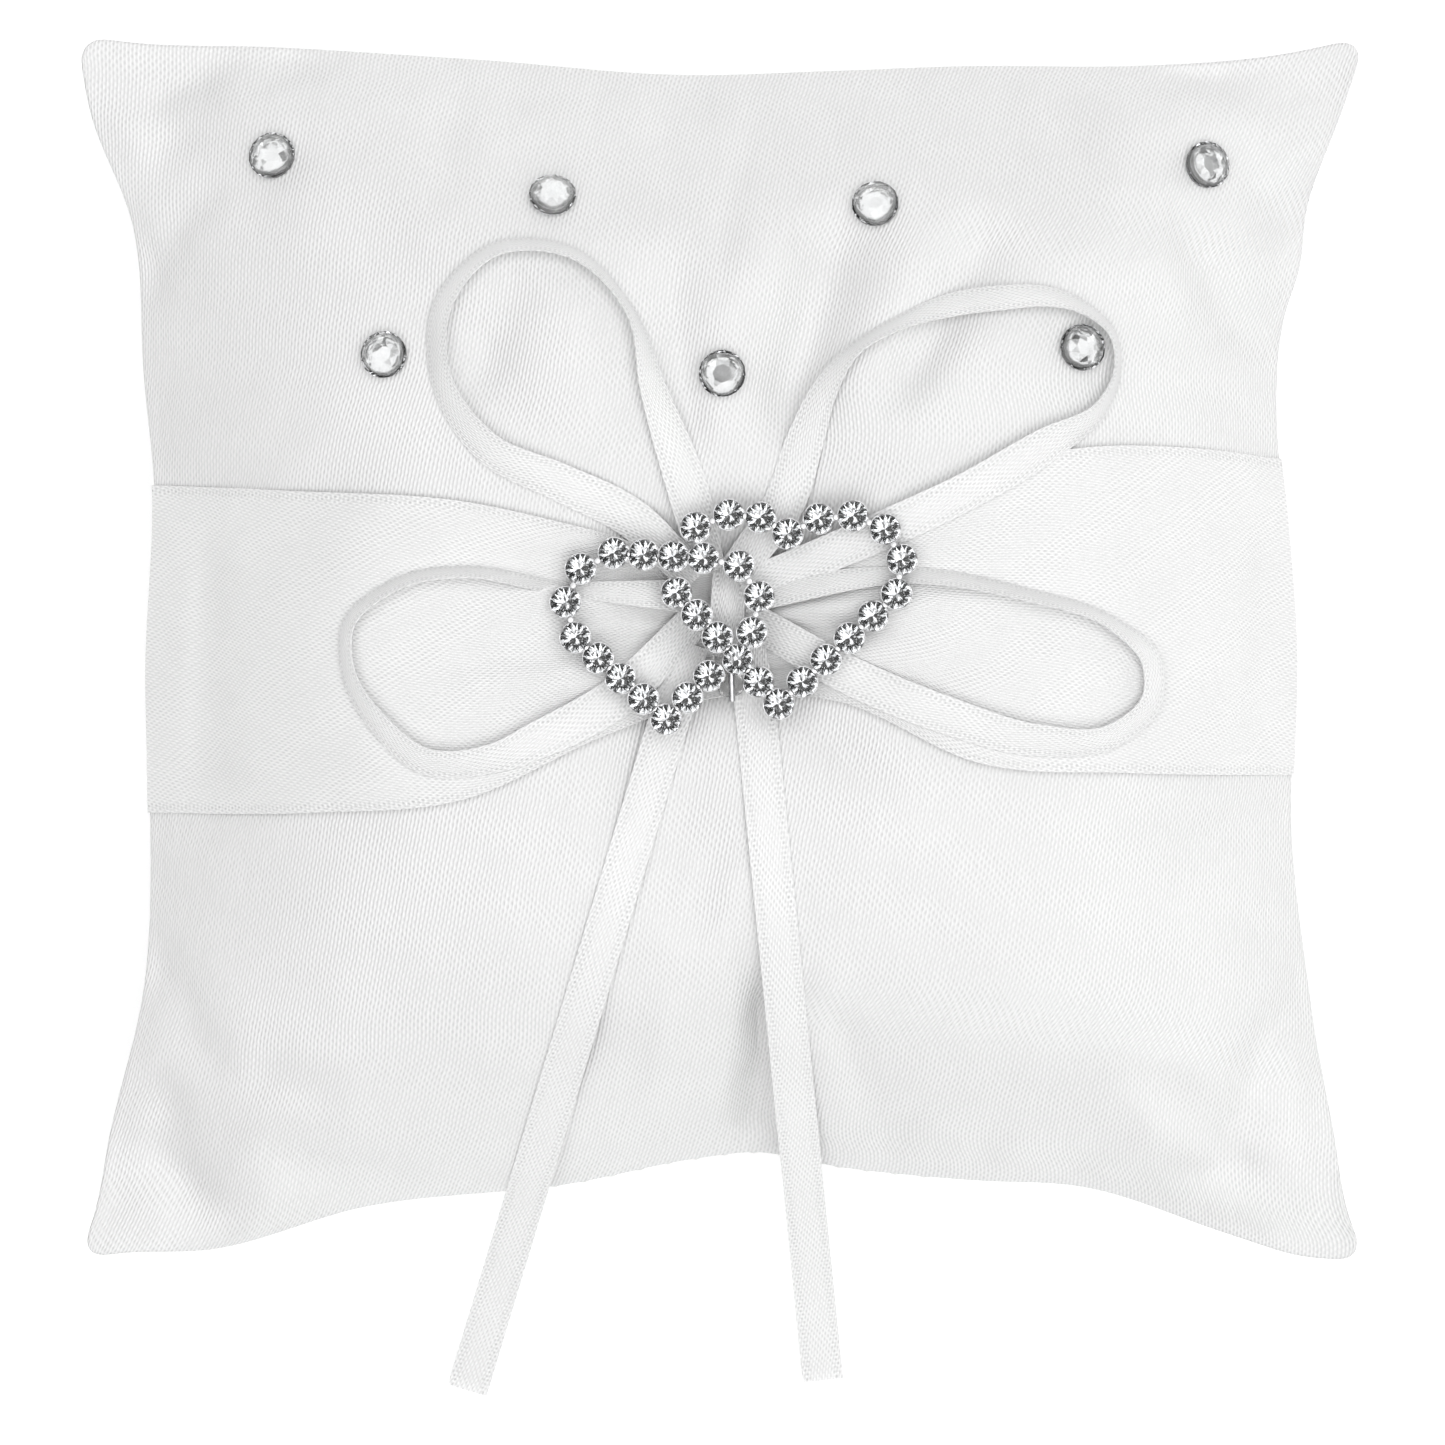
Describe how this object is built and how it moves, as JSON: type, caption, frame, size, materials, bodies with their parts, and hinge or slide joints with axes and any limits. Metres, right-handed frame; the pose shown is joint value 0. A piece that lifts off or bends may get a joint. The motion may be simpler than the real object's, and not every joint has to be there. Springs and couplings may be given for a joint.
{
  "type": "ring bearer pillow",
  "caption": "Small square white satin cushion with a wide ribbon band, a looped bow with long tails for tying rings, a double-heart rhinestone brooch and scattered flat-back crystals.",
  "frame": {"origin": "centre of the flat patch of the back that rests on the table", "axes": "+X along the wide band to the right, +Y up the pillow away from the ribbon tails, +Z out of the front with the bow and brooch"},
  "size_m": [0.0996, 0.1067, 0.0302],
  "materials": {
    "pillow_satin": "white duchess satin, soft sheen, fine diagonal weave",
    "ribbon_satin": "white satin ribbon with woven edges, brighter sheen than the cover",
    "polyester_fibre": "loose white fibre",
    "white_thread": "twisted white polyester thread",
    "silver_plate": "bright silver plate",
    "cut_glass": "clear cut glass with a foiled back",
    "foil_backed_glass": "clear faceted glass over silver foil",
    "clear_glue": "clear set glue"
  },
  "bodies": {
    "pillow": {"front_panel": "pillow_satin", "back_panel": "pillow_satin", "fibre_filling": "polyester_fibre", "edge_seam_thread": "white_thread", "closing_stitches": "white_thread", "tuft_thread": "white_thread", "wide_band": "ribbon_satin", "band_gather_thread": "white_thread", "bow_knot": "ribbon_satin", "brooch_frame": "silver_plate", "left_heart_stones": "cut_glass", "right_heart_stones": "cut_glass", "brooch_glue": "clear_glue", "crystal_upper_1": "foil_backed_glass", "crystal_upper_2": "foil_backed_glass", "crystal_upper_3": "foil_backed_glass", "crystal_upper_4": "foil_backed_glass", "crystal_lower_1": "foil_backed_glass", "crystal_lower_2": "foil_backed_glass", "crystal_lower_3": "foil_backed_glass", "crystal_glue_dots": "clear_glue"},
    "bow_loop_upper_left": {"bow_loop_upper_left": "ribbon_satin"},
    "bow_loop_upper_right": {"bow_loop_upper_right": "ribbon_satin"},
    "bow_loop_lower_left": {"bow_loop_lower_left": "ribbon_satin"},
    "bow_loop_lower_right": {"bow_loop_lower_right": "ribbon_satin"},
    "left_tail": {"left_tail": "ribbon_satin"},
    "left_tail_end": {"left_tail_end": "ribbon_satin"},
    "right_tail": {"right_tail": "ribbon_satin"},
    "right_tail_end": {"right_tail_end": "ribbon_satin"}
  },
  "joints": [
    {"name": "upper_left_loop_lift", "type": "hinge", "parent": "pillow", "child": "bow_loop_upper_left", "pos_m": [-0.00438, 0.0083, 0.0266], "axis": [0.8408, 0.5413, 0], "range_deg": [0, 25]},
    {"name": "upper_right_loop_lift", "type": "hinge", "parent": "pillow", "child": "bow_loop_upper_right", "pos_m": [0.00631, 0.00714, 0.0266], "axis": [0.6666, -0.7454, 0], "range_deg": [0, 25]},
    {"name": "lower_left_loop_lift", "type": "hinge", "parent": "pillow", "child": "bow_loop_lower_left", "pos_m": [-0.0095, 0.00035, 0.0266], "axis": [-0.1203, 0.9927, 0], "range_deg": [0, 25]},
    {"name": "lower_right_loop_lift", "type": "hinge", "parent": "pillow", "child": "bow_loop_lower_right", "pos_m": [0.01048, 0.00004, 0.02682], "axis": [-0.1379, -0.9904, 0], "range_deg": [0, 25]},
    {"name": "left_tail_lift", "type": "hinge", "parent": "pillow", "child": "left_tail", "pos_m": [-0.00483, -0.00783, 0.02682], "axis": [-0.9573, 0.2891, 0], "range_deg": [0, 100]},
    {"name": "left_tail_fold", "type": "hinge", "parent": "left_tail", "child": "left_tail_end", "pos_m": [-0.01528, -0.04243, 0.01366], "axis": [-0.9573, 0.2891, 0], "range_deg": [-35, 110]},
    {"name": "right_tail_lift", "type": "hinge", "parent": "pillow", "child": "right_tail", "pos_m": [0.00284, -0.0074, 0.02653], "axis": [-0.995, -0.1003, 0], "range_deg": [0, 100]},
    {"name": "right_tail_fold", "type": "hinge", "parent": "right_tail", "child": "right_tail_end", "pos_m": [0.00636, -0.04233, 0.01354], "axis": [-0.995, -0.1003, 0], "range_deg": [-35, 110]}
  ]
}
